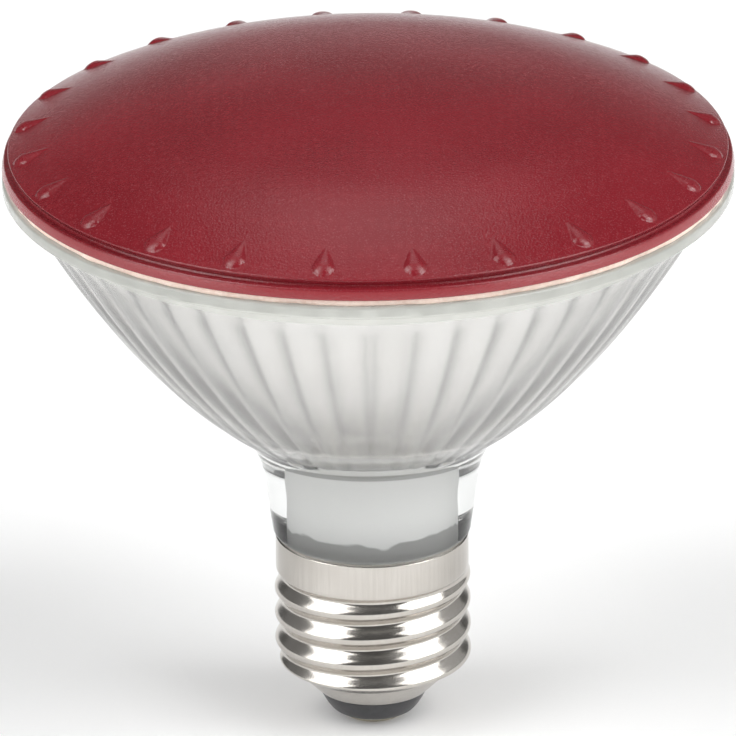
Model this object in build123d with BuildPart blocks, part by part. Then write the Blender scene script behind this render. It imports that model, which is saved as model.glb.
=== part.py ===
from build123d import *
import os
from math import asin, cos, degrees, pi, radians, sin, sqrt

os.makedirs("parts", exist_ok=True)

# A reflector lamp with a domed red front glass, a fluted pressed-glass reflector and an
# Edison screw cap. It stands on its centre contact at z = 0 with the front glass up,
# and the photographed front faces -Y. All sizes are in millimetres.

# Front rim, and the joint between the two glasses
rim_d = 97.0
joint_z = 78.75
seal_thickness = 0.9
seal_setback = 0.25

# Reflector bowl: a paraboloid outside, the same paraboloid raised by the wall inside
bowl_vertex_z = 35.9
bowl_wall = 4.2
bowl_foot_r = 18.8
flange_overhang = 2.2
flange_thickness = 1.8
flange_bevel = 0.6
flute_count = 48
flute_depth = 0.4
flute_sections = 5

# Reflector neck, with the spigot that is cemented into the cap
neck_spread = 1.15
neck_proud = 0.4
neck_foot_z = 26.4
neck_foot_bevel = 0.9
neck_ledge = 0.2
flare_h = 7.2
spigot_gap = 0.7
spigot_wall = 3.65
spigot_z = 19.8

# Front glass: rim flange, step, dome of two tangent arcs, drop-shaped nubs round its edge
lens_flange_h = 1.5
lens_step_h = 1.4
lens_step_in = 0.8
lens_bevel = 0.5
crown_radius = 190.0
crown_half_w = 28.0
dome_edge_slope = 27.0
lens_wall = 3.2
nub_count = 24
nub_end_r = 1.5
nub_length = 4.9
nub_height = 0.7
nub_root = 0.5
nub_taper = 30.0
nub_end_sides = 6
nub_inset = 0.5

# Screw cap: a thin rolled shell
shell_wall = 0.4
skirt_step = 0.2
skirt_top_gap = 0.1
thread_root_r = 12.0
thread_height = 1.08
thread_pitch = 3.629
thread_top_z = 21.2
thread_low_z = 8.5
thread_crest_w = 1.3
thread_valley_w = 0.33
thread_root_sink = 0.2
shoulder_h = 0.6
nose_r = 7.3
nose_z = 3.9
cement_fit = 0.05

# Cap insulator and centre contact
insulator_foot_r = 5.7
insulator_foot_z = 0.9
insulator_foot_bevel = 0.7
insulator_lip = 0.15
insulator_top_z = 6.8
contact_r = 3.9
contact_pin_r = 1.25
contact_pin_z = 6.0
contact_fit = 0.05

# Light source on its heat spreader, seated in the throat of the bowl
seat_fit = 0.1
spreader_r = 13.0
spreader_disc_h = 2.0
plug_length = 7.0
pad_setback = 0.6
pad_h = 0.5
led_board_setback = 0.2
led_board_h = 1.6
led_size = 2.8
led_h = 0.8
led_outer_count = 9
led_edge_gap = 2.8
led_inner_count = 3
led_inner_r = 5.0

# Driver: a sleeve in the neck bore with an upright circuit board
sleeve_fit = 0.2
sleeve_wall = 0.8
sleeve_z = 18.0
sleeve_top_gap = 0.2
board_thickness = 1.2
board_edge_gap = 0.2
board_z = 10.8
mount_gap = 0.05
can_fit = 0.35
can_length = 10.0
can_y = -1.5
can_lift = 2.4
film_cap_size = (2.0, 2.6, 5.0)
film_cap_gap = 0.6
film_cap_lift = 3.2
core_size = (4.8, 6.6, 5.6)
winding_size = (3.8, 8.6, 3.4)
winding_lift = 0.5
transformer_z = 14.0
bridge_size = (1.7, 4.8, 4.2)
bridge_edge_gap = 0.3
bridge_z = 14.5
chip_size = (1.5, 3.9, 4.9)
chip_edge_gap = 0.25
chip_z = 24.0
fuse_r = 1.4
fuse_length = 7.0
fuse_edge_gap = 0.8
fuse_z = 23.0

# Leads
wire_r = 0.5
wire_fit = 0.3
pair_spread = 0.65
pair_overlap = 2.0
pair_proud = 0.5
supply_overlap = 3.0
neutral_overlap = 2.5
neutral_lift = 1.2

# Sizes that follow from the ones above
rim_r = rim_d / 2
flange_top_z = joint_z - seal_thickness
flange_z = flange_top_z - flange_thickness
bowl_focal = (rim_r - flange_overhang) ** 2 / (4 * (flange_z - bowl_vertex_z))
dome_r = rim_r - lens_step_in
dome_edge_z = joint_z + lens_flange_h + lens_step_h
thread_crest_r = thread_root_r + thread_height
skirt_r = thread_crest_r - skirt_step
shell_top_z = neck_foot_z - skirt_top_gap
neck_foot_r = skirt_r + neck_proud
neck_top_r = neck_foot_r + neck_spread
spigot_r = thread_root_r - shell_wall - spigot_gap
neck_bore_r = spigot_r - spigot_wall
sleeve_r = neck_bore_r - sleeve_fit
sleeve_bore_r = sleeve_r - sleeve_wall


def bowl_radius(z, raised=0.0):
    """Radius of the paraboloid at a height, for the outside or for the raised inside."""
    return sqrt(4 * bowl_focal * (z - bowl_vertex_z - raised))


def bowl_height(r, raised=0.0):
    """Height of the paraboloid at a radius."""
    return bowl_vertex_z + raised + r**2 / (4 * bowl_focal)


mouth_r = bowl_radius(flange_top_z, bowl_wall)
bowl_foot_z = bowl_height(bowl_foot_r)
neck_top_z = bowl_foot_z - flare_h
throat_z = bowl_height(neck_bore_r, bowl_wall)
spreader_z = bowl_height(spreader_r, bowl_wall) + seat_fit
pad_r = spreader_r - pad_setback
pad_z = spreader_z + spreader_disc_h
led_board_r = pad_r - led_board_setback
led_board_z = pad_z + pad_h
led_z = led_board_z + led_board_h
plug_r = neck_bore_r - seat_fit
plug_z = spreader_z - plug_length
sleeve_top_z = plug_z - sleeve_top_gap
# The board stands beside the axis, so that the live lead on its back runs down the axis
board_x = wire_r + mount_gap + board_thickness / 2
board_front_x = board_x + board_thickness / 2
board_back_x = board_x - board_thickness / 2
board_half_w = sqrt(sleeve_bore_r**2 - board_front_x**2) - board_edge_gap
board_top_z = sleeve_top_z - board_edge_gap
# The round can touches neither the board nor the sleeve, and fills the room between them
part_x = board_front_x + mount_gap
can_reach = sleeve_bore_r - can_fit
can_r = (can_reach**2 - part_x**2 - can_y**2) / (2 * (can_reach + part_x))
transformer_top_z = transformer_z + core_size[2] / 2
pair_x = part_x + wire_r
slot_w = 2 * (wire_r + wire_fit)
slot_length = slot_w + 2 * pair_spread


# Front glass: pressed red glass, one piece with its rim flange and nubs
with BuildPart() as nub:
    # One drop, its point towards the lamp's axis, with sloping sides and a sunken root
    with BuildSketch(Plane.XY.offset(-nub_root)):
        with BuildLine():
            tail = nub_length - nub_end_r
            touch = asin(nub_end_r / tail)
            end_sweep = pi + 2 * touch
            end_angles = [end_sweep * (k / nub_end_sides - 0.5) for k in range(nub_end_sides + 1)]
            end_points = [(nub_end_r * cos(a), nub_end_r * sin(a)) for a in end_angles]
            Polyline((-tail, 0), *end_points, close=True)
        make_face()
    extrude(amount=nub_root + nub_height, taper=nub_taper)

with BuildPart() as front_lens:
    crown_angle = asin(crown_half_w / crown_radius)
    edge_angle = radians(dome_edge_slope)
    dome_edge_r = dome_r - lens_bevel
    shoulder_radius = (dome_edge_r - crown_half_w) / (sin(edge_angle) - sin(crown_angle))
    crown_drop = crown_radius * (1 - cos(crown_angle))
    shoulder_drop = shoulder_radius * (cos(crown_angle) - cos(edge_angle))
    apex_z = dome_edge_z + shoulder_drop + crown_drop
    with BuildSketch(Plane.XZ):
        with BuildLine():
            inner_edge = (mouth_r, joint_z)
            inner_apex = (0, apex_z - lens_wall)
            inner_rise = inner_apex[1] - inner_edge[1]
            inner_radius = (mouth_r**2 + inner_rise**2) / (2 * inner_rise)
            RadiusArc((0, apex_z), (crown_half_w, apex_z - crown_drop), crown_radius)
            RadiusArc((crown_half_w, apex_z - crown_drop), (dome_edge_r, dome_edge_z), shoulder_radius)
            Polyline(
                (dome_edge_r, dome_edge_z),
                (dome_r, dome_edge_z - lens_bevel),
                (dome_r, joint_z + lens_flange_h),
                (rim_r, joint_z + lens_flange_h),
                (rim_r, joint_z),
                inner_edge,
            )
            RadiusArc(inner_apex, inner_edge, inner_radius)
            Line(inner_apex, (0, apex_z))
        make_face()
    revolve(axis=Axis.Z)
    nub_r = dome_r - nub_inset - nub_end_r
    nub_angle = asin(sin(edge_angle) - (dome_edge_r - nub_r) / shoulder_radius)
    nub_z = dome_edge_z + shoulder_radius * (cos(nub_angle) - cos(edge_angle))
    nub_place = Location((nub_r, 0, nub_z), (0, degrees(nub_angle), 0))
    with PolarLocations(0, nub_count, start_angle=180 / nub_count):
        with Locations(nub_place):
            add(nub.part)
front_lens.part.label = "front_lens"
export_step(front_lens.part, "parts/front_lens.step")

# Ring of pale cement that joins the front glass to the reflector
with BuildPart() as lens_seal:
    with BuildSketch(Plane.XY.offset(flange_top_z)):
        Circle(rim_r - seal_setback)
        Circle(mouth_r + seal_setback, mode=Mode.SUBTRACT)
    extrude(amount=seal_thickness)
lens_seal.part.label = "lens_seal"
export_step(lens_seal.part, "parts/lens_seal.step")

# Reflector: pressed clear glass, silvered inside, with 48 rounded ribs down the bowl,
# a plain rim flange and a smooth neck
with BuildPart() as reflector:
    rib_top_z = flange_z + flange_thickness / 2
    rib_top_r = bowl_radius(rib_top_z)
    for k in range(flute_sections):
        section_r = bowl_foot_r + (rib_top_r - bowl_foot_r) * k / (flute_sections - 1)
        valley_r = section_r - flute_depth * section_r / rib_top_r
        with BuildSketch(Plane.XY.offset(bowl_height(section_r))):
            with BuildLine():
                for rib in range(flute_count):
                    left = 2 * pi * rib / flute_count
                    middle = left + pi / flute_count
                    right = middle + pi / flute_count
                    ThreePointArc(
                        (valley_r * cos(left), valley_r * sin(left)),
                        (section_r * cos(middle), section_r * sin(middle)),
                        (valley_r * cos(right), valley_r * sin(right)),
                    )
            make_face()
    loft()
    with BuildSketch(Plane.XY.offset(flange_z)):
        Circle(rim_r)
    extrude(amount=flange_thickness)
    round_edges = reflector.edges().filter_by(GeomType.CIRCLE)
    flange_edges = round_edges.filter_by(lambda e: abs(e.radius - rim_r) < flange_bevel)
    chamfer(flange_edges.sort_by(Axis.Z)[0], flange_bevel)
    with BuildSketch(Plane.XZ):
        with BuildLine():
            ledge_r = bowl_foot_r - neck_ledge
            neck_rise = (neck_spread, neck_top_z - neck_foot_z)
            TangentArc((neck_top_r, neck_top_z), (ledge_r, bowl_foot_z), tangent=neck_rise)
            Polyline(
                (neck_top_r, neck_top_z),
                (neck_foot_r, neck_foot_z),
                (spigot_r, neck_foot_z),
                (spigot_r, spigot_z),
                (0, spigot_z),
                (0, bowl_foot_z + flange_thickness),
                (ledge_r, bowl_foot_z + flange_thickness),
                (ledge_r, bowl_foot_z),
            )
        make_face()
    revolve(axis=Axis.Z)
    round_edges = reflector.edges().filter_by(GeomType.CIRCLE)
    foot_edges = round_edges.filter_by(lambda e: abs(e.radius - neck_foot_r) < neck_foot_bevel)
    chamfer(foot_edges.sort_by(Axis.Z)[0], neck_foot_bevel)
    with BuildSketch(Plane.XZ):
        with BuildLine():
            between = (neck_bore_r + mouth_r) / 2
            tangent_z = bowl_vertex_z + bowl_wall + neck_bore_r * mouth_r / (4 * bowl_focal)
            Bezier((neck_bore_r, throat_z), (between, tangent_z), (mouth_r, flange_top_z))
            Polyline(
                (mouth_r, flange_top_z),
                (0, flange_top_z),
                (0, spigot_z),
                (neck_bore_r, spigot_z),
                (neck_bore_r, throat_z),
            )
        make_face()
    revolve(axis=Axis.Z, mode=Mode.SUBTRACT)
reflector.part.label = "reflector"
export_step(reflector.part, "parts/reflector.step")

# Cap shell: thin nickel-plated brass with a rolled right-hand screw thread
with BuildPart() as thread_ridge:
    with BuildLine() as helix:
        Helix(
            pitch=thread_pitch,
            height=thread_top_z - nose_z + thread_pitch,
            radius=thread_root_r,
            center=(0, 0, nose_z - thread_pitch / 2),
        )
    ridge_plane = Plane(origin=helix.line @ 0, x_dir=(1, 0, 0), z_dir=(0, -1, 0))
    with BuildSketch(ridge_plane):
        with BuildLine():
            base_w = thread_pitch - thread_valley_w
            Polyline(
                (thread_height, -thread_crest_w / 2),
                (-thread_root_sink, -base_w / 2),
                (-thread_root_sink, base_w / 2),
                (thread_height, thread_crest_w / 2),
                close=True,
            )
        make_face()
    sweep(path=helix.line, is_frenet=True)

with BuildPart() as screw_shell:
    add(thread_ridge.part)
    # The ridge runs out along the cone of the nose below and under the skirt above
    with BuildSketch(Plane.XZ):
        with BuildLine():
            slope = (thread_low_z - nose_z) / (thread_root_r - nose_r)
            trim_r = thread_crest_r + thread_pitch
            trim_h = 2 * thread_pitch
            Polyline(
                (nose_r, nose_z),
                (trim_r, nose_z + (trim_r - nose_r) * slope),
                (trim_r, nose_z - trim_h),
                (nose_r, nose_z - trim_h),
                (nose_r, nose_z),
            )
        make_face()
    revolve(axis=Axis.Z, mode=Mode.SUBTRACT)
    with BuildSketch(Plane.XZ):
        with BuildLine():
            run_out_r = thread_root_r - shell_wall
            Polyline(
                (run_out_r, thread_top_z),
                (trim_r, thread_top_z - (trim_r - run_out_r)),
                (trim_r, thread_top_z + trim_h),
                (run_out_r, thread_top_z + trim_h),
                (run_out_r, thread_top_z),
            )
        make_face()
    revolve(axis=Axis.Z, mode=Mode.SUBTRACT)
    with BuildSketch(Plane.XZ):
        with BuildLine():
            Polyline(
                (0, nose_z),
                (nose_r, nose_z),
                (thread_root_r, thread_low_z),
                (thread_root_r, thread_top_z),
                (skirt_r, thread_top_z + shoulder_h),
                (skirt_r, shell_top_z),
                (0, shell_top_z),
                (0, nose_z),
            )
        make_face()
    revolve(axis=Axis.Z)
    with BuildSketch(Plane.XZ):
        with BuildLine():
            lean = sqrt(1 + slope**2)
            Polyline(
                (0, nose_z),
                (nose_r - shell_wall * lean / slope, nose_z),
                (thread_root_r - shell_wall, thread_low_z + shell_wall * (lean - slope)),
                (thread_root_r - shell_wall, thread_top_z),
                (skirt_r - shell_wall, thread_top_z + shoulder_h),
                (skirt_r - shell_wall, shell_top_z),
                (0, shell_top_z),
                (0, nose_z),
            )
        make_face()
    revolve(axis=Axis.Z, mode=Mode.SUBTRACT)
screw_shell.part.label = "screw_shell"
export_step(screw_shell.part, "parts/screw_shell.step")

# Cement that fills the skirt of the cap round the glass spigot
with BuildPart() as cap_cement:
    with BuildSketch(Plane.XY.offset(thread_top_z + shoulder_h)):
        Circle(skirt_r - shell_wall - cement_fit)
        Circle(spigot_r + cement_fit, mode=Mode.SUBTRACT)
    extrude(amount=neck_foot_z - cement_fit - thread_top_z - shoulder_h)
cap_cement.part.label = "cap_cement"
export_step(cap_cement.part, "parts/cap_cement.step")

# Cap insulator: black moulded glass that holds the contact in the nose of the shell
with BuildPart() as cap_insulator:
    with BuildSketch(Plane.XZ):
        with BuildLine():
            cone_inset = shell_wall * lean / slope + cement_fit
            top_r = nose_r - cone_inset + (insulator_top_z - nose_z) / slope
            pin_hole_r = contact_pin_r + contact_fit
            Polyline(
                (pin_hole_r, insulator_foot_z),
                (insulator_foot_r, insulator_foot_z),
                (nose_r - insulator_lip, nose_z - cement_fit),
                (nose_r - cone_inset, nose_z - cement_fit),
                (nose_r - cone_inset, nose_z),
                (top_r, insulator_top_z),
                (pin_hole_r, insulator_top_z),
                (pin_hole_r, insulator_foot_z),
            )
        make_face()
    revolve(axis=Axis.Z)
    foot_ring = cap_insulator.edges().filter_by(GeomType.CIRCLE).group_by(Axis.Z)[0]
    chamfer(foot_ring.sort_by(SortBy.RADIUS)[-1], insulator_foot_bevel)
cap_insulator.part.label = "cap_insulator"
export_step(cap_insulator.part, "parts/cap_insulator.step")

# Centre contact: a brass nail pressed into the insulator, which grips the live lead
with BuildPart() as centre_contact:
    with BuildSketch(Plane.XY):
        Circle(contact_r)
    extrude(amount=insulator_foot_z)
    with BuildSketch(Plane.XY.offset(insulator_foot_z)):
        Circle(contact_pin_r)
    extrude(amount=contact_pin_z - insulator_foot_z)
centre_contact.part.label = "centre_contact"
export_step(centre_contact.part, "parts/centre_contact.step")

# Heat spreader: turned aluminium, a disc in the throat of the bowl with a plug below
with BuildPart() as heat_spreader:
    with BuildSketch(Plane.XY.offset(spreader_z)):
        Circle(spreader_r)
    extrude(amount=spreader_disc_h)
    with BuildSketch(Plane.XY.offset(plug_z)):
        Circle(plug_r)
    extrude(amount=plug_length)
    with BuildSketch(Plane.XY.offset(plug_z)):
        with Locations((pair_x, 0)):
            Rectangle(slot_w, slot_length)
    extrude(amount=plug_length + spreader_disc_h, mode=Mode.SUBTRACT)
heat_spreader.part.label = "heat_spreader"
export_step(heat_spreader.part, "parts/heat_spreader.step")

# Thermal pad that bonds the light source board to the spreader
with BuildPart() as thermal_pad:
    with BuildSketch(Plane.XY.offset(pad_z)):
        Circle(pad_r)
        with Locations((pair_x, 0)):
            Rectangle(slot_w, slot_length, mode=Mode.SUBTRACT)
    extrude(amount=pad_h)
thermal_pad.part.label = "thermal_pad"
export_step(thermal_pad.part, "parts/thermal_pad.step")

# Light source board: a round metal-core board
with BuildPart() as led_board:
    with BuildSketch(Plane.XY.offset(led_board_z)):
        Circle(led_board_r)
        with Locations((pair_x, 0)):
            Rectangle(slot_w, slot_length, mode=Mode.SUBTRACT)
    extrude(amount=led_board_h)
led_board.part.label = "led_board"
export_step(led_board.part, "parts/led_board.step")

# Light-emitting packages: a ring of nine and three nearer the middle
with BuildPart() as leds:
    with BuildSketch(Plane.XY.offset(led_z)):
        with PolarLocations(led_board_r - led_edge_gap, led_outer_count):
            Rectangle(led_size, led_size)
        with PolarLocations(led_inner_r, led_inner_count, start_angle=180 / led_inner_count):
            Rectangle(led_size, led_size)
    extrude(amount=led_h)
leds.part.label = "leds"
export_step(leds.part, "parts/leds.step")

# Driver sleeve: a plastic tube in the neck bore that insulates the circuit
with BuildPart() as driver_sleeve:
    with BuildSketch(Plane.XY.offset(sleeve_z)):
        Circle(sleeve_r)
        Circle(sleeve_bore_r, mode=Mode.SUBTRACT)
    extrude(amount=sleeve_top_z - sleeve_z)
driver_sleeve.part.label = "driver_sleeve"
export_step(driver_sleeve.part, "parts/driver_sleeve.step")

# Driver board: an upright circuit board gripped between the walls of the sleeve
with BuildPart() as driver_board:
    with BuildSketch(Plane.XY.offset(board_z)):
        with Locations((board_x, 0)):
            Rectangle(board_thickness, 2 * board_half_w)
    extrude(amount=board_top_z - board_z)
driver_board.part.label = "driver_board"
export_step(driver_board.part, "parts/driver_board.step")

# Smoothing capacitor: an aluminium can lying along the front of the board
with BuildPart() as smoothing_capacitor:
    with BuildSketch(Plane.XY.offset(transformer_top_z + can_lift)):
        with Locations((part_x + can_r, can_y)):
            Circle(can_r)
    extrude(amount=can_length)
smoothing_capacitor.part.label = "smoothing_capacitor"
export_step(smoothing_capacitor.part, "parts/smoothing_capacitor.step")

# Film capacitor: a moulded box on the front of the board
with BuildPart() as film_capacitor:
    film_y = can_y + can_r + film_cap_gap + film_cap_size[1] / 2
    film_z = transformer_top_z + film_cap_lift + film_cap_size[2] / 2
    with Locations((part_x + film_cap_size[0] / 2, film_y, film_z)):
        Box(*film_cap_size)
    chamfer(film_capacitor.faces().sort_by(Axis.X)[-1].edges(), film_cap_size[0] / 8)
film_capacitor.part.label = "film_capacitor"
export_step(film_capacitor.part, "parts/film_capacitor.step")

# Transformer: a ferrite core with its winding standing out on both sides
with BuildPart() as transformer:
    with Locations((part_x + core_size[0] / 2, 0, transformer_z)):
        Box(*core_size)
    winding_x = part_x + winding_lift + winding_size[0] / 2
    with Locations((winding_x, 0, transformer_z)):
        Box(*winding_size)
transformer.part.label = "transformer"
export_step(transformer.part, "parts/transformer.step")

# Bridge rectifier on the back of the board
with BuildPart() as bridge_rectifier:
    bridge_y = board_half_w - bridge_edge_gap - bridge_size[1] / 2
    with Locations((board_back_x - mount_gap - bridge_size[0] / 2, bridge_y, bridge_z)):
        Box(*bridge_size)
    chamfer(bridge_rectifier.faces().sort_by(Axis.X)[0].edges(), bridge_size[0] / 6)
bridge_rectifier.part.label = "bridge_rectifier"
export_step(bridge_rectifier.part, "parts/bridge_rectifier.step")

# Control chip on the back of the board
with BuildPart() as control_chip:
    chip_y = chip_edge_gap + chip_size[1] / 2 - board_half_w
    with Locations((board_back_x - mount_gap - chip_size[0] / 2, chip_y, chip_z)):
        Box(*chip_size)
    chamfer(control_chip.faces().sort_by(Axis.X)[0].edges(), chip_size[0] / 6)
control_chip.part.label = "control_chip"
export_step(control_chip.part, "parts/control_chip.step")

# Fuse resistor: a coated cylinder along the back of the board
with BuildPart() as fuse_resistor:
    with BuildSketch(Plane.XY.offset(fuse_z)):
        with Locations((board_back_x - mount_gap - fuse_r, board_half_w - fuse_edge_gap - fuse_r)):
            Circle(fuse_r)
    extrude(amount=fuse_length)
fuse_resistor.part.label = "fuse_resistor"
export_step(fuse_resistor.part, "parts/fuse_resistor.step")

# Output leads: straight wires from the driver board up through the light source board
lead_foot_z = board_top_z - pair_overlap
lead_length = led_z + pair_proud - lead_foot_z
with BuildPart() as positive_lead:
    with BuildSketch(Plane.XY.offset(lead_foot_z)):
        with Locations((pair_x, pair_spread)):
            Circle(wire_r)
    extrude(amount=lead_length)
positive_lead.part.label = "positive_lead"
export_step(positive_lead.part, "parts/positive_lead.step")

with BuildPart() as negative_lead:
    with BuildSketch(Plane.XY.offset(lead_foot_z)):
        with Locations((pair_x, -pair_spread)):
            Circle(wire_r)
    extrude(amount=lead_length)
negative_lead.part.label = "negative_lead"
export_step(negative_lead.part, "parts/negative_lead.step")

# Live lead: from the back of the driver board down the axis to the contact nail
with BuildPart() as live_lead:
    with BuildSketch(Plane.XY.offset(contact_pin_z)):
        Circle(wire_r)
    extrude(amount=board_z + supply_overlap - contact_pin_z)
live_lead.part.label = "live_lead"
export_step(live_lead.part, "parts/live_lead.step")

# Neutral lead: from the back of the driver board straight out to the wall of the cap shell
with BuildPart() as neutral_lead:
    neutral_tip = thread_root_r - shell_wall - contact_fit
    with BuildSketch(Plane.XZ.offset(board_half_w - neutral_overlap)):
        with Locations((0, board_z + neutral_lift)):
            Circle(wire_r)
    extrude(amount=sqrt(neutral_tip**2 - wire_r**2) - board_half_w + neutral_overlap)
neutral_lead.part.label = "neutral_lead"
export_step(neutral_lead.part, "parts/neutral_lead.step")
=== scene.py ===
import math

import bpy
import numpy as np
from mathutils import Matrix, Vector


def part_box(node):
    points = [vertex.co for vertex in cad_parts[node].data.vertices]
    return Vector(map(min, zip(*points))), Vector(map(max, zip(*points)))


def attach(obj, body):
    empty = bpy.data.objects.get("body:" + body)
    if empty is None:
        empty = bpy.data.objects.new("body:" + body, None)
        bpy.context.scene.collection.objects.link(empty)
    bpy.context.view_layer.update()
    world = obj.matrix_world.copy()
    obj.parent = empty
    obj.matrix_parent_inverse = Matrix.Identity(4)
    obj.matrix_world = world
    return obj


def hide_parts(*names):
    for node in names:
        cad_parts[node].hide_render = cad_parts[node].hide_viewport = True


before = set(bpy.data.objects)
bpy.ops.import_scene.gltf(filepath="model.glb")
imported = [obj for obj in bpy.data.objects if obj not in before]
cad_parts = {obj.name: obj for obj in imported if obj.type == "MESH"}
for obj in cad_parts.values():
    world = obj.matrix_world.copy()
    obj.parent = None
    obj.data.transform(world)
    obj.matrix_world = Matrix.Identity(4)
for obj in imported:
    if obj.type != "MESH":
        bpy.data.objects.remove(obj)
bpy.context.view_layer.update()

# Reflector: pressed clear glass with a ribbed parabolic bowl, a plain rim flange, a thick smooth
# neck and a spigot for the cap. The mould leaves the ribbed outside a little frosted, and the
# hollow side is silvered, so the ribs are seen over a mirror.
MM = 0.001
rim_r = max(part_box("reflector")[1][:2]) / MM
flange_top_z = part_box("reflector")[1][2] / MM
spigot_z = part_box("reflector")[0][2] / MM
flange_thickness = 1.8
flange_overhang = 2.2
flange_ledge = 0.3
flange_round = 0.6
flange_top_round = 0.35
bowl_vertex_z = 35.9
bowl_wall = 4.2
bowl_foot_r = 18.8
bowl_rows = 48
silver_rows = 30
rib_count = 48
rib_columns = 14
rib_depth = 0.4
rib_flattening = 0.35
collar_h = 4.6
collar_edge = 0.5
collar_rise = 1.15
neck_ledge = 0.2
neck_top_r = 14.43
neck_foot_r = 13.28
neck_foot_z = 26.4
neck_foot_round = 1.1
neck_foot_start_deg = -6
neck_rows = 12
flare_h = 7.2
flare_rows = 14
spigot_r = 10.9
bore_r = 7.25

flange_z = flange_top_z - flange_thickness
bowl_top_r = rim_r - flange_overhang
bowl_focal = bowl_top_r**2 / (4 * (flange_z - bowl_vertex_z))
mouth_r = math.sqrt(4 * bowl_focal * (flange_top_z - bowl_vertex_z - bowl_wall))


def bowl_height(r, raised=0.0):
    """Height of the paraboloid at a radius; the silvered inside is the same curve, raised."""
    return bowl_vertex_z + raised + r**2 / (4 * bowl_focal)


def bowl_profile(r_start, r_end, count, raised=0.0):
    """Points of the paraboloid's profile between two radii."""
    r = np.linspace(r_start, r_end, count)
    return np.stack([r, bowl_height(r, raised)], axis=1)


def arc(centre, radius, start_deg, end_deg, count=6):
    """Points on a circle round a centre, from one angle to another, in the radius-height plane."""
    a = np.radians(np.linspace(start_deg, end_deg, count))
    return np.stack([centre[0] + radius * np.cos(a), centre[1] + radius * np.sin(a)], axis=1)


def line(start, end, count=3):
    """Evenly spaced points from one corner of a profile to the next, both ends included."""
    return np.linspace(start, end, count)


def joined(*stretches):
    """One profile out of several stretches, with the points that repeat at their ends dropped."""
    points = np.concatenate(stretches)
    keep = np.ones(len(points), bool)
    keep[1:] = np.linalg.norm(np.diff(points, axis=0), axis=1) > 1e-6
    return points[keep]


def smooth_step(low, high, x):
    """Rises from 0 at low to 1 at high along a cubic with level ends."""
    t = np.clip((x - low) / (high - low), 0, 1)
    return t * t * (3 - 2 * t)


def full_circle(count):
    """Even angles once round the axis, the first of them at zero."""
    return np.arange(count) * 2 * math.pi / count


def turned_piece(name, radius, height, angle, closed_ring=False):
    """A profile carried round the axis: row k and column j lie at radius[k, j], height[k, j] and
    angle[j], in millimetres; a grid of one column is the same all round. An open profile is closed
    on the axis by a fan at each end, and a closed ring joins its last row to its first."""
    radius, height, angle = np.broadcast_arrays(radius, height, angle)
    rows, columns = radius.shape
    x = radius * np.cos(angle) * MM
    y = radius * np.sin(angle) * MM
    points = np.stack([x, y, height * MM], axis=-1).reshape(-1, 3)
    row_ids = np.arange(rows if closed_ring else rows - 1)
    here = row_ids[:, None] * columns + np.arange(columns)
    beside = row_ids[:, None] * columns + (np.arange(columns) + 1) % columns
    total = rows * columns
    quads = np.stack([here, (here + columns) % total, (beside + columns) % total, beside], axis=-1)
    faces = quads.reshape(-1, 4).tolist()
    if not closed_ring:
        ends = np.array([[0, 0, height[0].mean() * MM], [0, 0, height[-1].mean() * MM]])
        points = np.concatenate([points, ends])
        first = np.arange(columns)
        after = (first + 1) % columns
        last = total - columns
        faces += np.stack([np.full(columns, total), first, after], axis=-1).tolist()
        faces += np.stack([np.full(columns, total + 1), last + after, last + first], axis=-1).tolist()
    mesh = bpy.data.meshes.new(name)
    mesh.from_pydata(points.tolist(), [], faces)
    mesh.polygons.foreach_set("use_smooth", np.ones(len(faces), bool))
    mesh.set_sharp_from_angle(angle=math.radians(38))
    piece = bpy.data.objects.new(name, mesh)
    bpy.context.scene.collection.objects.link(piece)
    return piece


bowl_foot_z = bowl_height(bowl_foot_r)
neck_top_z = bowl_foot_z - flare_h
ledge_r = bowl_foot_r - neck_ledge
throat_z = bowl_height(bore_r, bowl_wall)
# The flare is an arc that leaves the neck along its slope and ends at the foot of the bowl
neck_tilt = math.atan2(neck_top_r - neck_foot_r, neck_top_z - neck_foot_z)
flare_chord = math.hypot(ledge_r - neck_top_r, flare_h)
flare_turn = 2 * (math.atan2(ledge_r - neck_top_r, flare_h) - neck_tilt)
flare_radius = flare_chord / (2 * math.sin(flare_turn / 2))
flare_tilt = np.linspace(neck_tilt + flare_turn, neck_tilt, flare_rows)
flare_curve = np.stack([
    neck_top_r + flare_radius * (math.cos(neck_tilt) - np.cos(flare_tilt)),
    neck_top_z + flare_radius * (np.sin(flare_tilt) - math.sin(neck_tilt)),
], axis=1)
neck_foot_centre = (neck_foot_r - neck_foot_round, neck_foot_z + neck_foot_round)
outside = joined(
    line((mouth_r, flange_top_z), (rim_r - flange_top_round, flange_top_z)),
    arc((rim_r - flange_top_round, flange_top_z - flange_top_round), flange_top_round, 90, 0),
    line((rim_r, flange_top_z - flange_top_round), (rim_r, flange_z + flange_round)),
    arc((rim_r - flange_round, flange_z + flange_round), flange_round, 0, -90),
    line((rim_r - flange_round, flange_z), (bowl_top_r + flange_ledge, flange_z)),
    bowl_profile(bowl_top_r, bowl_foot_r, bowl_rows),
    flare_curve,
    line((neck_top_r, neck_top_z), (neck_foot_r, neck_foot_z + neck_foot_round), neck_rows),
    arc(neck_foot_centre, neck_foot_round, neck_foot_start_deg, -90, 8),
    line((neck_foot_r - neck_foot_round, neck_foot_z), (spigot_r, neck_foot_z)),
    line((spigot_r, neck_foot_z), (spigot_r, spigot_z)),
)
silvered = bowl_profile(bore_r, mouth_r, silver_rows, raised=bowl_wall)
inside = joined(
    line((spigot_r, spigot_z), (bore_r, spigot_z), 2),
    line((bore_r, spigot_z), (bore_r, throat_z), 4),
    silvered,
)
profile = np.concatenate([outside, inside[1:-1]])
profile_r = profile[:, :1]
profile_z = profile[:, 1:]
touch = 0.01
on_bowl = np.zeros(len(profile), bool)
on_bowl[: len(outside)] = (outside[:, 0] <= bowl_top_r + touch) & (outside[:, 1] >= bowl_foot_z - touch)
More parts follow.
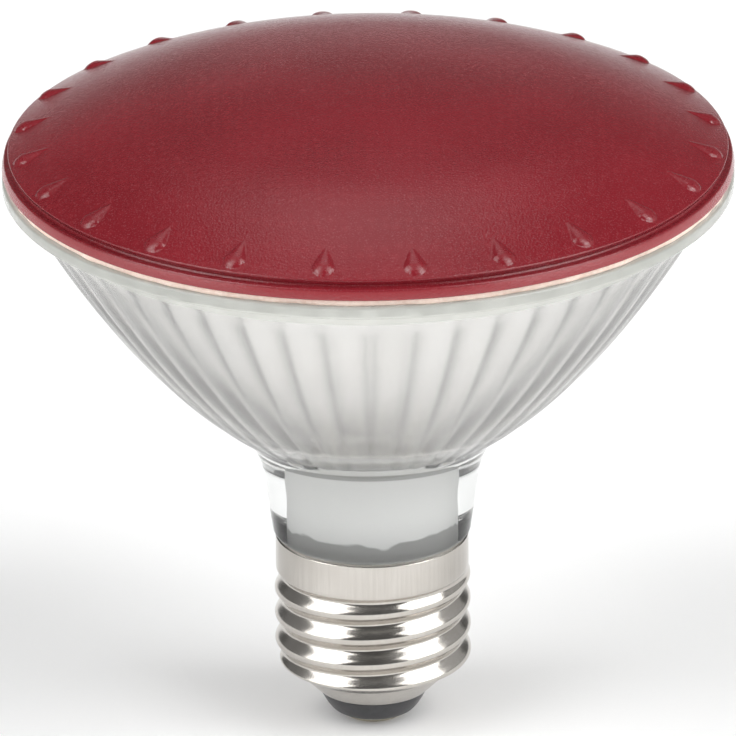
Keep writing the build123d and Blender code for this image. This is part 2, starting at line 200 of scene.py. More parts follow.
# The ribs are cut into the bowl, and a plain collar under the flange rises over their valleys,
# which leaves an arch at the top of each rib
rib_steps = rib_count * rib_columns
across = (np.arange(rib_steps) % rib_columns) / rib_columns
rib_fall = (2 * across - 1) ** 2
rib_fall = rib_fall * (1 - rib_flattening * rib_fall**3) / (1 - rib_flattening)
valley = rib_depth * (profile_r / bowl_top_r) * np.minimum(rib_fall, 1.0)
collar_share = smooth_step(flange_z - collar_h, flange_z - collar_edge, profile_z)
collar = np.maximum(rib_depth * (1 - collar_rise * collar_share), 0)
ribs = np.where(on_bowl[:, None], np.minimum(valley, collar), 0)
reflector = turned_piece(
    "reflector_glass", profile_r - ribs, profile_z, full_circle(rib_steps), closed_ring=True
)


def shader_group(name, inputs, output):
    """A node group with number inputs and one number output. Returns the group, its nodes and
    links, its input node and the socket to feed."""
    group = bpy.data.node_groups.new(name, "ShaderNodeTree")
    for label, value in inputs.items():
        socket = group.interface.new_socket(label, in_out="INPUT", socket_type="NodeSocketFloat")
        socket.default_value = value
    group.interface.new_socket(output, in_out="OUTPUT", socket_type="NodeSocketFloat")
    source = group.nodes.new("NodeGroupInput")
    sink = group.nodes.new("NodeGroupOutput")
    return group, group.nodes, group.links, source, sink.inputs[output]


def feed(links, socket, value):
    """Sets a socket to a plain number, or links another socket to it."""
    if isinstance(value, (int, float)):
        socket.default_value = value
    else:
        links.new(value, socket)


def math_node(nodes, links, operation, *values):
    """A math node whose inputs are sockets or plain numbers; returns its result."""
    node = nodes.new("ShaderNodeMath")
    node.operation = operation
    for socket, value in zip(node.inputs, values):
        feed(links, socket, value)
    return node.outputs[0]


def object_axes(nodes, links):
    """The object's own coordinates, split into X, Y and Z."""
    place = nodes.new("ShaderNodeTexCoord")
    parts = nodes.new("ShaderNodeSeparateXYZ")
    links.new(place.outputs["Object"], parts.inputs[0])
    return parts.outputs


# Speckle: even fine noise of a given grain
speckle, nodes, links, source, sink = shader_group("speckle", {"Grain mm": 0.6, "Detail": 2.0}, "Height")
place = nodes.new("ShaderNodeTexCoord")
noise = nodes.new("ShaderNodeTexNoise")
links.new(place.outputs["Object"], noise.inputs["Vector"])
links.new(math_node(nodes, links, "DIVIDE", 1 / MM, source.outputs["Grain mm"]), noise.inputs["Scale"])
links.new(source.outputs["Detail"], noise.inputs["Detail"])
links.new(noise.outputs["Fac"], sink)

# Band: 1 between two heights, falling to 0 over a soft edge
band_inputs = {"Low mm": 0.0, "High mm": 1.0, "Soft mm": 0.5}
band, nodes, links, source, sink = shader_group("height_band", band_inputs, "Mask")
height_mm = math_node(nodes, links, "MULTIPLY", object_axes(nodes, links)["Z"], 1 / MM)
above = math_node(nodes, links, "SUBTRACT", height_mm, source.outputs["Low mm"])
below = math_node(nodes, links, "SUBTRACT", source.outputs["High mm"], height_mm)
inside_by = math_node(nodes, links, "MINIMUM", above, below)
ramp = math_node(nodes, links, "DIVIDE", inside_by, source.outputs["Soft mm"])
half = math_node(nodes, links, "ADD", ramp, 0.5)
not_below = math_node(nodes, links, "MAXIMUM", half, 0.0)
links.new(math_node(nodes, links, "MINIMUM", not_below, 1.0), sink)


def use_group(nodes, links, group, **values):
    """A node that runs a group, its inputs given by name as numbers or sockets; returns its output."""
    node = nodes.new("ShaderNodeGroup")
    node.node_tree = group
    for label, value in values.items():
        feed(links, node.inputs[label.replace("_", " ")], value)
    return node.outputs[0]


def base_finish(name, **values):
    """A material with a Principled shader whose plain numbers are set by name."""
    material = bpy.data.materials.new(name)
    material.use_nodes = True
    shader = material.node_tree.nodes["Principled BSDF"]
    for label, value in values.items():
        shader.inputs[label.replace("_", " ")].default_value = value
    return material, material.node_tree.nodes, material.node_tree.links, shader


def blend_colours(nodes, links, share, first, second):
    """The first colour where the share is 0 and the second where it is 1."""
    mix = nodes.new("ShaderNodeMix")
    mix.data_type = "RGBA"
    links.new(share, mix.inputs["Factor"])
    for socket, colour in ((mix.inputs["A"], first), (mix.inputs["B"], second)):
        if isinstance(colour, tuple):
            socket.default_value = (*colour, 1)
        else:
            links.new(colour, socket)
    return mix.outputs["Result"]


def spread(nodes, links, value, low, high, from_low=0.3, from_high=0.7):
    """The middle of a noise stretched over a range of numbers."""
    node = nodes.new("ShaderNodeMapRange")
    links.new(value, node.inputs["Value"])
    node.inputs["From Min"].default_value = from_low
    node.inputs["From Max"].default_value = from_high
    node.inputs["To Min"].default_value = low
    node.inputs["To Max"].default_value = high
    return node.outputs["Result"]


def bump(nodes, links, shader, height, depth_mm):
    """A bump map of a given depth on the shader's normal."""
    node = nodes.new("ShaderNodeBump")
    node.inputs["Strength"].default_value = 1.0
    node.inputs["Distance"].default_value = depth_mm * MM
    links.new(height, node.inputs["Height"])
    links.new(node.outputs["Normal"], shader.inputs["Normal"])


def mottled(name, first, second, rough, grain_mm, depth_mm=0.01, detail=3.0, **values):
    """A material whose colour, roughness and relief, if any, drift together with an even noise."""
    material, nodes, links, shader = base_finish(name, **values)
    drift = use_group(nodes, links, speckle, Grain_mm=grain_mm, Detail=detail)
    share = spread(nodes, links, drift, 0, 1)
    links.new(blend_colours(nodes, links, share, first, second), shader.inputs["Base Color"])
    links.new(spread(nodes, links, drift, *rough), shader.inputs["Roughness"])
    if depth_mm:
        bump(nodes, links, shader, drift, depth_mm)
    return material


glass_ior = 1.48
glass = mottled(
    "clear_pressed_glass", (0.94, 0.955, 0.943), (0.96, 0.97, 0.962), rough=(0.02, 0.05),
    grain_mm=9.0, depth_mm=0.12, detail=1.0, IOR=glass_ior, Transmission_Weight=1.0,
)
rim_glass = mottled(
    "milky_rim_glass", (0.66, 0.675, 0.625), (0.76, 0.77, 0.72), rough=(0.10, 0.20),
    grain_mm=4.0, depth_mm=0.05, detail=2.0, IOR=glass_ior, Transmission_Weight=0.5,
)
silver = mottled(
    "silvered_inside", (0.92, 0.91, 0.895), (0.96, 0.955, 0.945), rough=(0.14, 0.20),
    grain_mm=9.0, depth_mm=0.0, detail=2.0, Metallic=1.0,
)

# The frosted bowl is painted greyer along the valleys between its ribs: painted shade in the grooves
frost_low = (0.88, 0.875, 0.86)
frost_high = (0.94, 0.935, 0.92)
valley_shade_grey = (0.62, 0.62, 0.61)
valley_shade_share = 0.26
valley_shade_sharpness = 5.0
frost, nodes, links, shader = base_finish("frosted_pressed_glass", IOR=glass_ior, Transmission_Weight=0.85)
shader.distribution = "GGX"
axes = object_axes(nodes, links)
bearing = math_node(nodes, links, "ARCTAN2", axes["Y"], axes["X"])
rib_turn = math_node(nodes, links, "MULTIPLY", bearing, float(rib_count))
rib_wave = math_node(nodes, links, "COSINE", rib_turn)
rib_wave = math_node(nodes, links, "MULTIPLY_ADD", rib_wave, 0.5, 0.5)
valley_shade_mask = math_node(nodes, links, "POWER", rib_wave, valley_shade_sharpness)
valley_shade_mask = math_node(nodes, links, "MULTIPLY", valley_shade_mask, valley_shade_share)
grain = use_group(nodes, links, speckle, Grain_mm=0.30, Detail=2.0)
drift = use_group(nodes, links, speckle, Grain_mm=7.0, Detail=2.0)
white = blend_colours(nodes, links, spread(nodes, links, drift, 0, 1), frost_low, frost_high)
# Painted shade: the base colour turns grey along each rib valley
white = blend_colours(nodes, links, valley_shade_mask, white, valley_shade_grey)
links.new(white, shader.inputs["Base Color"])
links.new(spread(nodes, links, grain, 0.19, 0.24), shader.inputs["Roughness"])
bump(nodes, links, shader, grain, depth_mm=0.0015)

# In the bore the coat is matt and pale, and it ends in a ragged edge above the foot of the neck. At the top
# of the bore, under the bowl, it is painted grey as painted shade.
coat_end_z = 28.0
throat_shade_z = 40.0
coat_ragged = 4.0
bare_and_shaded_grey = (0.46, 0.46, 0.45)
coat_white = (0.96, 0.96, 0.95)
coat, nodes, links, shader = base_finish("matt_silver_coat")
drift = use_group(nodes, links, speckle, Grain_mm=5.0, Detail=2.0)
ragged = math_node(nodes, links, "MULTIPLY_ADD", drift, coat_ragged, coat_end_z - coat_ragged / 2)
# Painted shade: above the throat shade height the coat is painted grey, a dark band under the bowl
coat_unshaded = use_group(nodes, links, band, Low_mm=ragged, High_mm=throat_shade_z, Soft_mm=0.35)
links.new(blend_colours(nodes, links, coat_unshaded, bare_and_shaded_grey, coat_white), shader.inputs["Base Color"])
links.new(spread(nodes, links, drift, 0.55, 0.70), shader.inputs["Roughness"])

# Each row of the profile has one layer: the rim is milky, the ribbed bowl frosted, the neck clear
rim_band = 1.4
frost_top_gap = 1.3
frost_foot_gap = 0.3
layers = (glass, frost, silver, coat, rim_glass)
glass_layer, frost_layer, silver_layer, coat_layer, rim_layer = range(len(layers))
for layer in layers:
    reflector.data.materials.append(layer)
row_z = profile[:, 1]
frosted = on_bowl & (row_z < flange_z - frost_top_gap) & (row_z > bowl_foot_z + frost_foot_gap)
near_rim = row_z > flange_z - rim_band
layer_of_row = np.where(frosted, frost_layer, np.where(near_rim, rim_layer, glass_layer))
silver_start = len(profile) - len(silvered) + 1
layer_of_row[len(outside):silver_start] = coat_layer
layer_of_row[silver_start:] = silver_layer
layer_of_face = np.repeat(layer_of_row, rib_steps).astype(np.int32)
reflector.data.polygons.foreach_set("material_index", layer_of_face)
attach(reflector, "root")
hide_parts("reflector")


# Light source: a turned aluminium spreader seated in the throat of the bowl, a soft pad, a white
# metal-core board bonded on it and twelve phosphor-covered packages soldered to the board.
def dress(node, material):
    """Gives a CAD node that keeps its own mesh a better material."""
    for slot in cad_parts[node].material_slots:
        slot.material = material


turned_aluminium = mottled(
    "turned_aluminium", (0.80, 0.81, 0.82), (0.90, 0.905, 0.91), rough=(0.35, 0.50),
    grain_mm=0.8, Metallic=1.0,
)
dress("heat_spreader", turned_aluminium)
for node, name, first, second, rough, grain_mm in (
    ("thermal_pad", "silicone_pad", (0.36, 0.42, 0.50), (0.45, 0.50, 0.57), (0.60, 0.75), 0.7),
    ("led_board", "white_solder_mask", (0.84, 0.84, 0.82), (0.90, 0.90, 0.88), (0.30, 0.42), 1.5),
    ("leds", "yellow_phosphor", (0.82, 0.62, 0.14), (0.90, 0.72, 0.22), (0.35, 0.50), 0.3),
):
    dress(node, mottled(name, first, second, rough, grain_mm))

# Driver: a white plastic sleeve slid into the neck, and in it an upright green circuit board with
# its capacitors, transformer, rectifier, chip and fuse resistor soldered on.
for node, name, first, second, rough, grain_mm in (
    ("driver_sleeve", "white_plastic", (0.84, 0.84, 0.83), (0.88, 0.88, 0.87), (0.38, 0.50), 1.2),
    ("driver_board", "green_solder_mask", (0.018, 0.10, 0.04), (0.03, 0.15, 0.06), (0.30, 0.45), 0.6),
    ("smoothing_capacitor", "dark_film_sleeve", (0.012, 0.014, 0.022), (0.022, 0.025, 0.035),
     (0.25, 0.35), 2.0),
    ("film_capacitor", "orange_resin", (0.46, 0.085, 0.015), (0.56, 0.12, 0.02), (0.28, 0.40), 0.9),
    ("transformer", "ferrite_and_tape", (0.022, 0.022, 0.024), (0.05, 0.048, 0.045), (0.45, 0.65), 0.8),
    ("fuse_resistor", "baked_coating", (0.05, 0.15, 0.19), (0.08, 0.21, 0.25), (0.45, 0.60), 0.6),
):
    dress(node, mottled(name, first, second, rough, grain_mm))
black_epoxy = mottled(
    "black_epoxy", (0.008, 0.008, 0.009), (0.016, 0.016, 0.017), rough=(0.40, 0.55), grain_mm=0.25
)
dress("bridge_rectifier", black_epoxy)
dress("control_chip", black_epoxy)

# Leads: a red and a black insulated wire from the driver up to the light source, and two bare
# tinned copper wires from the driver down to the cap. All four are soldered at both ends.
for node, name, first, second in (
    ("positive_lead", "red_insulation", (0.36, 0.010, 0.010), (0.45, 0.018, 0.016)),
    ("negative_lead", "black_insulation", (0.010, 0.010, 0.010), (0.02, 0.02, 0.02)),
):
    dress(node, mottled(name, first, second, rough=(0.35, 0.45), grain_mm=0.5))
tinned_copper = mottled(
    "tinned_copper", (0.55, 0.34, 0.22), (0.70, 0.60, 0.50), rough=(0.25, 0.40),
    grain_mm=0.6, Metallic=1.0,
)
dress("live_lead", tinned_copper)
dress("neutral_lead", tinned_copper)

# Seal: pale cement that is pressed between the two glass rims and holds them together. It has set
# with a lumpy edge that lies a little inside the rims.
joint_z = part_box("lens_seal")[1][2] / MM
seal_in = 0.25
seal_edge_r = 47.8
seal_lump = 0.28
seal_bulge = 0.12
seal_air = 0.02
seal_rows = 7
seal_columns = 480
lump_waves = np.array([7, 11, 17, 23, 31, 43, 61])[:, None]

# The edge is half a turn of a bulge over the joint, with lumps that are the mean of several waves
lump_turns = np.random.default_rng(7).uniform(0, 2 * math.pi, lump_waves.shape)
seal_angle = full_circle(seal_columns)
lumps = np.sin(lump_waves * seal_angle + lump_turns).mean(axis=0)
seal_mid_z = (joint_z + flange_top_z) / 2
seal_half_h = (joint_z - flange_top_z) / 2 - seal_air
over_edge = np.linspace(0, math.pi, seal_rows)[:, None]
edge_r = seal_edge_r + seal_lump * lumps + seal_bulge * np.sin(over_edge)
edge_z = seal_mid_z + seal_half_h * np.cos(over_edge)
inner_r = np.full_like(edge_r[:1], mouth_r + seal_in)
radius = np.concatenate([inner_r, edge_r, inner_r])
height = np.concatenate([edge_z[:1], edge_z, edge_z[-1:]])
seal = turned_piece("seal_cement", radius, height, seal_angle, closed_ring=True)
pale_cement = mottled(
    "pale_cement", (0.86, 0.66, 0.56), (0.97, 0.81, 0.72), rough=(0.75, 0.9), grain_mm=0.8, depth_mm=0.06
)
seal.data.materials.append(pale_cement)
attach(seal, "root")
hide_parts("lens_seal")

# Front glass: pressed red glass, domed, with a step and a flange at its rim and drop-shaped nubs
# round its edge. Its face is stippled, and small lenses are pressed into its back. The cement
# holds its flange on the rim of the reflector.
lens_flange_h = 1.5
lens_step_h = 1.4
lens_step_in = 0.8
lens_bevel = 0.5
lens_wall = 3.2
lip_round = 0.18
lip_rows = 7
crown_rows = 9
shoulder_rows = 8
back_rows = 16
crown_radius = 190.0
crown_half_w = 28.0
edge_slope = math.radians(27)
groove_undercut = 0.45
groove_round = 0.3
flange_draft = 0.22
flange_draft_deg = 10
flange_edge_round = 0.25
lenslet_pitch = 1.7
nub_count = 24
nub_end_r = 1.5
nub_length = 4.9
nub_height = 0.58
nub_inset = 0.5
nub_margin = 0.3
nub_fullness = 1.3
nub_rows = 42
nub_columns = 22
pole_r = 1.0

dome_r = rim_r - lens_step_in
dome_edge_r = dome_r - lens_bevel
dome_edge_z = joint_z + lens_flange_h + lens_step_h
crown_angle = math.asin(crown_half_w / crown_radius)
crown_drop = crown_radius * (1 - math.cos(crown_angle))
shoulder_radius = (dome_edge_r - crown_half_w) / (math.sin(edge_slope) - math.sin(crown_angle))
shoulder_drop = shoulder_radius * (math.cos(crown_angle) - math.cos(edge_slope))
apex_z = dome_edge_z + shoulder_drop + crown_drop


def dome_height(r):
    """Height of the dome: a flat crown arc out to its half width, then a tighter shoulder arc."""
    crown = apex_z - crown_radius + np.sqrt(crown_radius**2 - np.minimum(r, crown_half_w) ** 2)
    reach = np.clip(r, crown_half_w, None) - crown_half_w + shoulder_radius * math.sin(crown_angle)
    shoulder = np.sqrt(shoulder_radius**2 - reach**2) - shoulder_radius * math.cos(crown_angle)
    return np.where(r <= crown_half_w, crown, apex_z - crown_drop + shoulder)


def all_round(profile, columns):
    """The radii and the heights of a plain profile as two grids, the same at every angle."""
    return np.repeat(profile[:, :1], columns, axis=1), np.repeat(profile[:, 1:], columns, axis=1)


# Columns lie close together on a nub, where a sector's middle is, and far apart between two nubs
nub_half_share = 0.14
shares_beside_nub = [0.18, 0.24, 0.32, 0.42, 0.58, 0.68, 0.76, 0.82]
shares_on_nub = np.linspace(-1, 1, nub_columns) * nub_half_share
sector = np.sort((np.concatenate([shares_on_nub, shares_beside_nub]) + 0.5) % 1.0)
lens_angle = ((np.arange(nub_count)[:, None] + sector) * 2 * math.pi / nub_count).reshape(-1)
# The lip is rounded by a small arc that leaves the dome along its slope
lip_start_r = dome_r - lip_round * (1 - math.sin(edge_slope))
lip_z = float(dome_height(lip_start_r)) - lip_round * math.cos(edge_slope)
nub_r = dome_r - nub_inset - nub_end_r
nub_tail = nub_length - nub_end_r
nub_zone_r = nub_r - nub_tail - nub_margin
dome_rows = np.concatenate([
    np.linspace(pole_r, crown_half_w, crown_rows)[:-1],
    np.linspace(crown_half_w, nub_zone_r, shoulder_rows)[:-1],
    np.linspace(nub_zone_r, lip_start_r, nub_rows),
])[:, None]
dome_z = dome_height(dome_rows)
# A nub is round at its outer end and tapers to a point towards the middle of the lens
along = dome_rows - nub_r
turn = (lens_angle * nub_count / (2 * math.pi)) % 1.0 - 0.5
side = turn * 2 * math.pi / nub_count * dome_rows
taper = np.clip(1 + along / nub_tail, 0, 1)
tail_half_w = nub_end_r * taper + 1e-6
tail_bump = taper * np.sqrt(np.clip(1 - (side / tail_half_w) ** 2, 0, 1))
end_bump = np.sqrt(np.clip(1 - (along**2 + side**2) / nub_end_r**2, 0, 1))
nub_share = np.where(along < 0, tail_bump, end_bump) ** nub_fullness
nub_rise = nub_height * nub_share
slope = np.gradient(dome_z[:, 0], dome_rows[:, 0])[:, None]
lean = 1 / np.sqrt(1 + slope**2)
groove_r = dome_r - groove_undercut
groove_z = joint_z + lens_flange_h
flange_upper_centre = (rim_r - flange_draft - flange_edge_round, groove_z - flange_edge_round)
flange_lower_centre = (rim_r - flange_edge_round, joint_z + flange_edge_round)
edge = joined(
    arc((dome_r - lip_round, lip_z), lip_round, 90 - math.degrees(edge_slope), 0, lip_rows)[1:],
    line((dome_r, lip_z), (groove_r, groove_z + groove_round), 4),
    arc((groove_r + groove_round, groove_z + groove_round), groove_round, 180, 270),
    arc(flange_upper_centre, flange_edge_round, 90, flange_draft_deg, 5),
    arc(flange_lower_centre, flange_edge_round, flange_draft_deg, -90),
    line((rim_r - flange_edge_round, joint_z), (mouth_r, joint_z)),
)
inner_rise = apex_z - lens_wall - joint_z
inner_radius = (mouth_r**2 + inner_rise**2) / (2 * inner_rise)
back_r = np.linspace(mouth_r, pole_r, back_rows)[1:]
back_z = joint_z + inner_rise - inner_radius + np.sqrt(inner_radius**2 - back_r**2)
lens_back = np.stack([back_r, back_z], axis=1)
plain_r, plain_z = all_round(np.concatenate([edge, lens_back]), len(lens_angle))
radius = np.concatenate([dome_rows - nub_rise * slope * lean, plain_r])
height = np.concatenate([dome_z + nub_rise * lean, plain_z])
lens = turned_piece("front_glass", radius, height, lens_angle)
# Each point keeps its share of a nub's rise, because the stipple fades out on the nubs, which are satin
nub_mask = lens.data.attributes.new("nub", "FLOAT", "POINT")
shares = np.zeros(len(lens.data.vertices), np.float32)
shares[: nub_share.size] = nub_share.reshape(-1)
nub_mask.data.foreach_set("value", shares)

deep_red = (0.24, 0.013, 0.021)
full_red = (0.285, 0.017, 0.027)
lenslet_red = (0.36, 0.035, 0.045)
painted_glint_pink = (0.42, 0.13, 0.15)
flange_glow_red = (0.45, 0.07, 0.08)
flange_glow_share = 0.65
nub_roughness = 0.18
red_glass, nodes, links, shader = base_finish("red_pressed_glass", IOR=glass_ior, Transmission_Weight=0.3)
drift = use_group(nodes, links, speckle, Grain_mm=18.0, Detail=1.0)
grain = use_group(nodes, links, speckle, Grain_mm=0.30, Detail=2.0)
glint_noise = use_group(nodes, links, speckle, Grain_mm=0.22, Detail=1.0)
place = nodes.new("ShaderNodeTexCoord")
cells = nodes.new("ShaderNodeTexVoronoi")
cells.inputs["Scale"].default_value = 1 / (lenslet_pitch * MM)
cells.inputs["Randomness"].default_value = 0.35
links.new(place.outputs["Object"], cells.inputs["Vector"])
lenslets = spread(nodes, links, cells.outputs["Distance"], 0.28, 0.0, from_low=0.05, from_high=0.45)
# Painted glints: small pale pink specks in the base colour stand in for the stipple's glints
painted_glints = spread(nodes, links, glint_noise, 0, 0.3, from_low=0.56, from_high=0.70)
# Painted light: the flange band is painted a lighter red, as light shining back through the glass from the
# pale cement
flange_low = joint_z - 1.0
flange_high = groove_z - flange_edge_round
flange_band = use_group(nodes, links, band, Low_mm=flange_low, High_mm=flange_high, Soft_mm=0.25)
flange_glow = math_node(nodes, links, "MULTIPLY", flange_band, flange_glow_share)
red = blend_colours(nodes, links, spread(nodes, links, drift, 0, 1), deep_red, full_red)
red = blend_colours(nodes, links, lenslets, red, lenslet_red)
red = blend_colours(nodes, links, painted_glints, red, painted_glint_pink)
red = blend_colours(nodes, links, flange_glow, red, flange_glow_red)
links.new(red, shader.inputs["Base Color"])
on_nub = nodes.new("ShaderNodeAttribute")
on_nub.attribute_name = "nub"
nub_cover = math_node(nodes, links, "MINIMUM", on_nub.outputs["Fac"], 1.0)
plain = math_node(nodes, links, "SUBTRACT", 1.0, nub_cover)
satin = math_node(nodes, links, "MULTIPLY", on_nub.outputs["Fac"], nub_roughness)
lens_roughness = math_node(nodes, links, "ADD", spread(nodes, links, grain, 0.10, 0.18), satin)
links.new(lens_roughness, shader.inputs["Roughness"])
stipple = math_node(nodes, links, "MULTIPLY", grain, plain)
bump(nodes, links, shader, stipple, depth_mm=0.065)
lens.data.materials.append(red_glass)
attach(lens, "root")
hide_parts("front_lens")

# Cap cement: plaster that fills the skirt of the cap round the glass spigot. It is put in soft
# and holds the cap on the neck once it has set.
cap_plaster = mottled(
    "cap_plaster", (0.56, 0.53, 0.48), (0.66, 0.63, 0.58), rough=(0.8, 0.95), grain_mm=0.7, depth_mm=0.05
)
dress("cap_cement", cap_plaster)

# Cap shell: thin brass sheet drawn into a cup, with a right-hand thread rolled into it, and then
# plated with nickel. It is slipped over the spigot and held there by the plaster.
shell_top_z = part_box("screw_shell")[1][2] / MM
nose_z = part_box("screw_shell")[0][2] / MM
skirt_r = 12.88
crest_r = 13.08
root_r = 12.0
pitch = 3.629
crest_fullness = 0.8
thread_top_z = 21.2
thread_low_z = 8.5
run_out = (-1.0, 0.7)
run_in = (2.2, 0.6)
nose_r = 7.3
shell_wall = 0.4
inner_gap = 0.6
skin_top_gap = 0.12
skin_low_gap = 0.1
top_lip_h = 0.9
top_lip_turn = 0.1
nose_lip_w = 0.5
shell_rows = 180
shell_columns = 288

# The skin is a plain core with a wave rolled into it, whose crests climb by one pitch each turn; the
# wave starts on the nose and ends under the skirt
crest_z = nose_z - pitch / 2
shell_angle = full_circle(shell_columns)
z = np.linspace(shell_top_z - skin_top_gap, nose_z + skin_low_gap, shell_rows)[:, None]
phase = (z - crest_z) / pitch - shell_angle / (2 * math.pi)
wave = 0.5 + 0.5 * np.cos(2 * math.pi * phase)
nose_cone = nose_r + (root_r - nose_r) * (z - nose_z) / (thread_low_z - nose_z)
core = np.where(z > thread_low_z, root_r, nose_cone)
thread_share = smooth_step(nose_z + run_in[0], thread_low_z + run_in[1], z)
thread_r = core + (crest_r - root_r) * wave**crest_fullness * thread_share
skirt_share = smooth_step(thread_top_z + run_out[0], thread_top_z + run_out[1], z)
shell_r = thread_r * (1 - skirt_share) + skirt_r * skirt_share
top_lip = np.array([
    [skirt_r - shell_wall, shell_top_z - top_lip_h],
    [skirt_r - shell_wall, shell_top_z - top_lip_turn],
    [skirt_r - shell_wall / 2, shell_top_z],
    [skirt_r - 0.06, shell_top_z - 0.05],
])
nose_lip_and_inside = np.array([
    [nose_r - 0.05, nose_z + 0.03],
    [nose_r - shell_wall / 2, nose_z],
    [nose_r - nose_lip_w, nose_z + 0.15],
    [nose_r - nose_lip_w, nose_z + 0.6],
    [nose_r, nose_z + 1.2],
    [root_r - inner_gap, thread_low_z + shell_wall],
    [root_r - inner_gap, thread_top_z],
])
top_r, top_z = all_round(top_lip, shell_columns)
low_r, low_z = all_round(nose_lip_and_inside, shell_columns)
radius = np.concatenate([top_r, shell_r, low_r])
height = np.concatenate([top_z, np.repeat(z, shell_columns, axis=1), low_z])
shell = turned_piece("cap_shell", radius, height, shell_angle, closed_ring=True)

# Streaks: noise drawn out along the height
streaks, nodes, links, source, sink = shader_group("streaks", {"Grain mm": 0.3, "Length mm": 9.0}, "Height")
axes = object_axes(nodes, links)
drawn = nodes.new("ShaderNodeCombineXYZ")
across_scale = math_node(nodes, links, "DIVIDE", 1 / MM, source.outputs["Grain mm"])
along_scale = math_node(nodes, links, "DIVIDE", 1 / MM, source.outputs["Length mm"])
for axis, scale in (("X", across_scale), ("Y", across_scale), ("Z", along_scale)):
    links.new(math_node(nodes, links, "MULTIPLY", axes[axis], scale), drawn.inputs[axis])
noise = nodes.new("ShaderNodeTexNoise")
noise.inputs["Scale"].default_value = 1.0
links.new(drawn.outputs[0], noise.inputs["Vector"])
links.new(noise.outputs["Fac"], sink)

nickel_low = (0.57, 0.54, 0.50)
nickel_high = (0.65, 0.62, 0.58)
streak_tone = (0.46, 0.43, 0.39)
nickel, nodes, links, shader = base_finish("nickel_plate", Metallic=1.0)
drift = use_group(nodes, links, speckle, Grain_mm=6.0, Detail=3.0)
drawing = use_group(nodes, links, streaks, Grain_mm=0.3, Length_mm=9.0)
tone = blend_colours(nodes, links, spread(nodes, links, drift, 0, 1), nickel_low, nickel_high)
tone = blend_colours(nodes, links, spread(nodes, links, drawing, 0.0, 0.35), tone, streak_tone)
links.new(tone, shader.inputs["Base Color"])
links.new(spread(nodes, links, drift, 0.15, 0.24), shader.inputs["Roughness"])
bump(nodes, links, shader, drawing, depth_mm=0.006)
shell.data.materials.append(nickel)
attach(shell, "root")
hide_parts("screw_shell")

# Cap insulator: black glass moulded into the nose of the shell, with a rounded foot. It keeps the
# centre contact apart from the thread and has a hole for the contact's pin.
insulator_foot_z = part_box("cap_insulator")[0][2] / MM
insulator_top_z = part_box("cap_insulator")[1][2] / MM
insulator_neck_r = 6.69
insulator_top_r = 9.39
insulator_foot_r = 4.8
insulator_columns = 144
nose_gap = 0.06
pin_hole_r = 1.3
insulator_side = [
    (7.12, 3.82), (6.95, 3.30), (6.66, 2.75), (6.30, 2.15), (5.90, 1.60), (5.50, 1.18), (5.15, 0.97),
    (insulator_foot_r, insulator_foot_z),
]

insulator_profile = joined(
    line((pin_hole_r, insulator_top_z), (insulator_top_r, insulator_top_z), 2),
    line((insulator_top_r, insulator_top_z), (insulator_neck_r, nose_z), 2),
    line((insulator_neck_r, nose_z), (insulator_neck_r, nose_z - nose_gap), 2),
    insulator_side,
    line((insulator_foot_r, insulator_foot_z), (pin_hole_r, insulator_foot_z), 2),
)
insulator_angle = full_circle(insulator_columns)
insulator = turned_piece(
    "insulator", insulator_profile[:, :1], insulator_profile[:, 1:], insulator_angle, closed_ring=True
)
black_glass = mottled(
    "black_moulded_glass", (0.030, 0.030, 0.033), (0.045, 0.045, 0.048), rough=(0.28, 0.42),
    grain_mm=0.9, depth_mm=0.02,
)
insulator.data.materials.append(black_glass)
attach(insulator, "root")
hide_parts("cap_insulator")

# Centre contact: a tinned brass nail with a rounded head. Its pin is pressed through the insulator,
# and a lead is soldered to the end of the pin.
contact_pin_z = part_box("centre_contact")[1][2] / MM
contact_r = 3.9
contact_pin_r = 1.25
contact_air = 0.02
contact_columns = 96
head_round = 0.4
head_step = 0.15
pin_pole_r = 0.3
head_top_z = insulator_foot_z - contact_air
contact_profile = joined(
    line((pin_pole_r, contact_pin_z), (contact_pin_r, contact_pin_z), 2),
    line((contact_pin_r, contact_pin_z), (contact_pin_r, head_top_z), 2),
    line((contact_pin_r, head_top_z), (contact_r - head_step, head_top_z), 2),
    arc((contact_r - head_round, head_round), head_round, 0, -90),
    line((contact_r - head_round, 0), (pin_pole_r, 0)),
)
contact_angle = full_circle(contact_columns)
contact = turned_piece("contact", contact_profile[:, :1], contact_profile[:, 1:], contact_angle)
tinned_brass = mottled(
    "tinned_brass", (0.60, 0.55, 0.42), (0.72, 0.69, 0.62), rough=(0.25, 0.40),
    grain_mm=0.8, depth_mm=0.02, Metallic=1.0,
)
contact.data.materials.append(tinned_brass)
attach(contact, "root")
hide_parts("centre_contact")

# Stage: a plain pale floor, a tall soft box and a top box on each side of the camera, and weak
# ones behind. Nothing is lit straight ahead, which the plated cap shows as dark bars. Its places
# and sizes are in metres.
floor_half = 5.0
paper_low = (0.965, 0.965, 0.965)
paper_high = (0.985, 0.985, 0.985)
world_strength = 0.10
floor_corners = floor_half * np.array([(-1, -1, 0), (1, -1, 0), (1, 1, 0), (-1, 1, 0)])
floor_mesh = bpy.data.meshes.new("floor")
floor_mesh.from_pydata(floor_corners.tolist(), [], [(0, 1, 2, 3)])
floor = bpy.data.objects.new("floor", floor_mesh)
bpy.context.scene.collection.objects.link(floor)
paper, nodes, links, shader = base_finish("floor_paper", Roughness=0.9, Specular_IOR_Level=0.0)
fibre = use_group(nodes, links, speckle, Grain_mm=0.5, Detail=2.0)
links.new(blend_colours(nodes, links, fibre, paper_low, paper_high), shader.inputs["Base Color"])
floor_mesh.materials.append(paper)


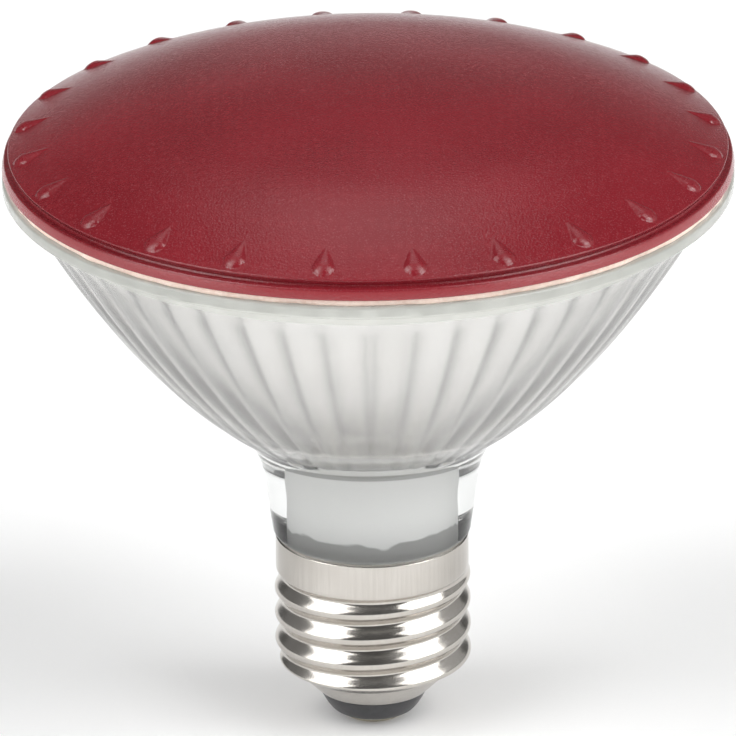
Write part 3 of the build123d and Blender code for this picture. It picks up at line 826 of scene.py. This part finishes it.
def soft_box(name, place, target, width, depth, radiance):
    """A rectangular lamp that faces a point; its power is its radiance times its area times pi."""
    lamp = bpy.data.lights.new(name, "AREA")
    lamp.shape = "RECTANGLE"
    lamp.size = width
    lamp.size_y = depth
    lamp.energy = radiance * width * depth * math.pi
    holder = bpy.data.objects.new(name, lamp)
    holder.location = place
    holder.rotation_euler = (Vector(target) - Vector(place)).to_track_quat("-Z", "Y").to_euler()
    bpy.context.scene.collection.objects.link(holder)


foot_point = (0, 0, 0)
cap_point = (0, 0, 0.03)
rim_point = (0, 0, 0.08)
behind_point = (0, 0.3, 0)
top_gain = 1.1
soft_box("overhead_back", (0, 0.85, 1.6), behind_point, width=0.75, depth=1.10, radiance=0.9)
for name, side, front_light, back_light in (("left", -1, 2.8, 0.10), ("right", 1, 3.3, 0.35)):
    top_place = (side * 0.95, -0.35, 1.6)
    front_place = (side * 1.20, -0.61, 0.72)
    back_place = (side * 1.45, 0.65, 0.60)
    soft_box(name + "_top", top_place, foot_point, width=0.80, depth=1.30, radiance=top_gain * front_light)
    soft_box(name + "_front", front_place, cap_point, width=1.30, depth=1.40, radiance=front_light)
    soft_box(name + "_back", back_place, cap_point, width=1.10, depth=1.00, radiance=back_light)
soft_box("low_back", (0, 2.2, 0.22), rim_point, width=2.6, depth=0.44, radiance=0.35)
world = bpy.data.worlds.new("studio")
world.use_nodes = True
background = world.node_tree.nodes["Background"]
background.inputs["Color"].default_value = (1, 1, 1, 1)
background.inputs["Strength"].default_value = world_strength
bpy.context.scene.world = world
bpy.context.scene.view_settings.view_transform = "Standard"

# Camera: a long lens from about 22 degrees above, tipped so that the joint of the two glasses
# falls where the photograph has it.
image_px = 736
joint_px = (368.1, 164.34)
px_per_mm = 7.555
view_elevation = math.radians(21.6)
view_distance = 2.5
roll = math.radians(-0.61)
focal_px = px_per_mm * view_distance / MM
camera_data = bpy.data.cameras.new("camera")
camera_data.sensor_width = 36.0
camera_data.lens = camera_data.sensor_width * focal_px / image_px
camera_data.clip_end = 50
camera = bpy.data.objects.new("camera", camera_data)
joint_centre = Vector((0, 0, joint_z * MM))
back = Vector((0, -math.cos(view_elevation), math.sin(view_elevation)))
shift_x = joint_px[0] - image_px / 2
shift_y = joint_px[1] - image_px / 2
pan = math.atan2(shift_x * math.cos(roll) + shift_y * math.sin(roll), focal_px)
tip = math.atan2(shift_x * math.sin(roll) - shift_y * math.cos(roll), focal_px)
facing = back.to_track_quat("Z", "Y").to_matrix()
turned = facing @ Matrix.Rotation(pan, 3, "Y") @ Matrix.Rotation(-tip, 3, "X") @ Matrix.Rotation(roll, 3, "Z")
camera.matrix_world = Matrix.Translation(joint_centre + back * view_distance) @ turned.to_4x4()
bpy.context.scene.collection.objects.link(camera)
bpy.context.scene.camera = camera
